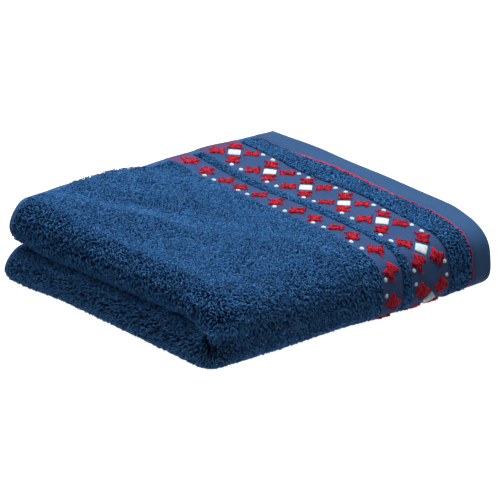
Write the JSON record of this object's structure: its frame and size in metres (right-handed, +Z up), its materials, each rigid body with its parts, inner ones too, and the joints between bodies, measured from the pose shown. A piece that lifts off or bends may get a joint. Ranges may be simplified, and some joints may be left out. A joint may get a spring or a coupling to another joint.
{
  "type": "folded hand towel",
  "caption": "Folded terry hand towel with flat woven borders beside its hems, lying in a soft rectangular pile.",
  "frame": {"origin": "centre of the folded pile's plan, on the surface that it rests on", "axes": "+Z up, +X from the round folds to the hems, -Y to the front that the outermost layer wraps"},
  "size_m": [0.2672, 0.2556, 0.0666],
  "materials": {
    "terry": "blue cotton terry, matt, with flat woven bands"
  },
  "bodies": {
    "root": {"towel": "terry"}
  },
  "joints": []
}
